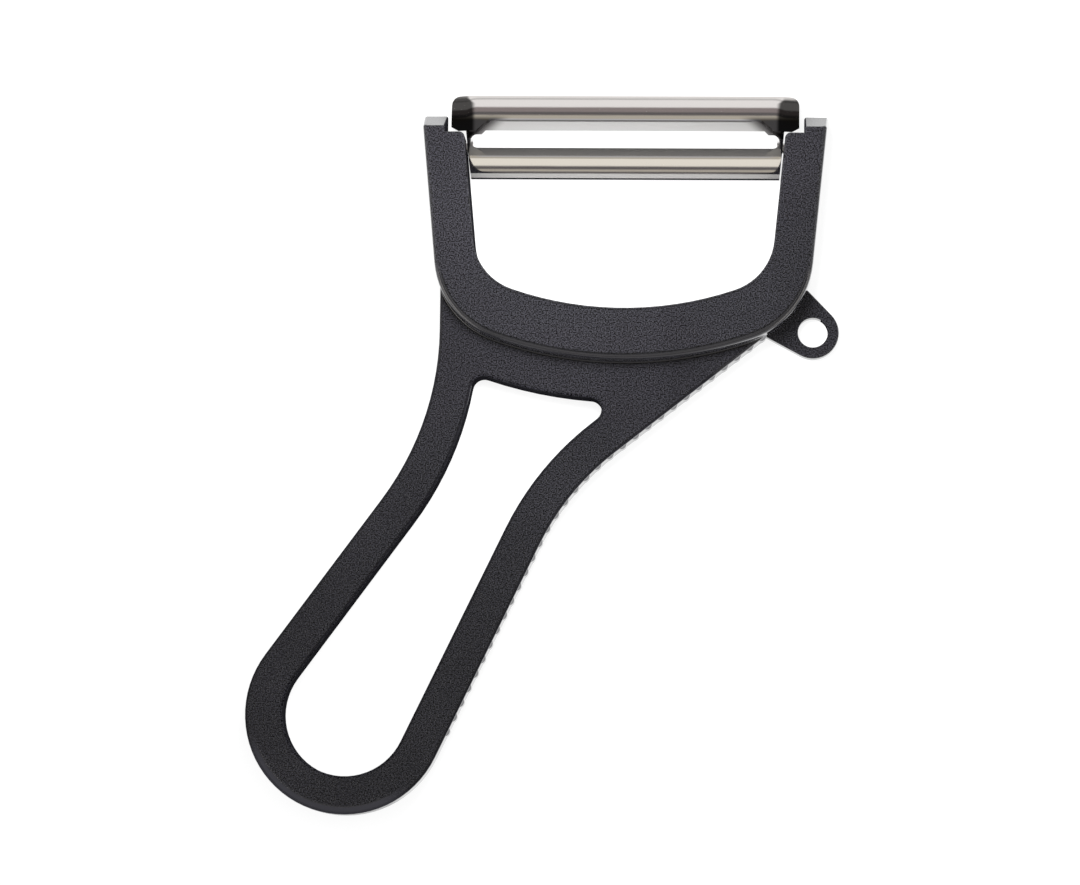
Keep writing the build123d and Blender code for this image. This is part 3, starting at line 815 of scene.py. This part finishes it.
def add_camera(settings):
    """Looks down on the peeler as the photograph does."""
    camera = bpy.data.cameras.new("camera")
    camera.sensor_width = SENSOR_WIDTH
    place = Vector(settings.camera_place)
    sight = Vector(settings.target) - place
    camera.lens = SENSOR_WIDTH * sight.length / settings.pixel_size / PICTURE_WIDTH
    camera.clip_start = NEAREST
    camera.clip_end = FARTHEST
    forward = sight.normalized()
    right = forward.cross(Vector((0.0, 1.0, 0.0))).normalized()
    up = right.cross(forward)
    turn = Matrix((right, up, -forward)).transposed().to_4x4()
    body = bpy.data.objects.new("camera", camera)
    body.matrix_world = Matrix.Translation(place) @ turn @ Matrix.Rotation(settings.roll, 4, "Z")
    bpy.context.scene.collection.objects.link(body)
    bpy.context.scene.camera = body


def add_lamp():
    """A soft lamp low over the fork, which lights it more than the loop's far end."""
    light = bpy.data.lights.new("fork_lamp", "AREA")
    light.shape = "DISK"
    light.size = LAMP_SIZE
    light.energy = LAMP_POWER
    lamp = bpy.data.objects.new("fork_lamp", light)
    lamp.location = LAMP_PLACE
    lamp.visible_camera = False
    lamp.visible_glossy = False
    bpy.context.scene.collection.objects.link(lamp)


class PEELER_OT_stage(bpy.types.Operator):
    """Set up the floor, the light and the camera"""
    bl_idname = "peeler.stage"
    bl_label = "Stage"

    def execute(self, context):
        settings = context.scene.peeler_stage
        add_camera(settings)
        add_floor(settings)
        add_lamp()
        studio_world()
        context.scene.view_settings.view_transform = "Standard"
        return {"FINISHED"}


class PEELER_PT_sidebar(bpy.types.Panel):
    """Lists the peeler's steps and their settings"""
    bl_label = "Peeler"
    bl_idname = "PEELER_PT_sidebar"
    bl_space_type = "VIEW_3D"
    bl_region_type = "UI"
    bl_category = "Peeler"

    def draw(self, context):
        for operator in OPERATORS:
            self.layout.operator(operator.bl_idname)
        for group in GROUPS:
            box = self.layout.box()
            settings = getattr(context.scene, group)
            for name in settings.__annotations__:
                box.prop(settings, name)


GROUPS = {
    "peeler_plastic": PeelerPlastic,
    "peeler_steel": PeelerSteel,
    "peeler_wing": PeelerWing,
    "peeler_stage": PeelerStage,
}
OPERATORS = (PEELER_OT_handle, PEELER_OT_blade, PEELER_OT_stage)
CLASSES = (*GROUPS.values(), *OPERATORS, PEELER_PT_sidebar)


def register():
    """Registers the classes and gives each scene its groups of settings."""
    for item in CLASSES:
        bpy.utils.register_class(item)
    for name, group in GROUPS.items():
        setattr(bpy.types.Scene, name, bpy.props.PointerProperty(type=group))


def unregister():
    """Takes back what register did."""
    for name in GROUPS:
        delattr(bpy.types.Scene, name)
    for item in reversed(CLASSES):
        bpy.utils.unregister_class(item)


def main():
    """Finishes the whole peeler."""
    register()
    bpy.ops.peeler.handle()
    bpy.ops.peeler.blade()
    bpy.ops.peeler.stage()


if __name__ == "__main__":
    main()
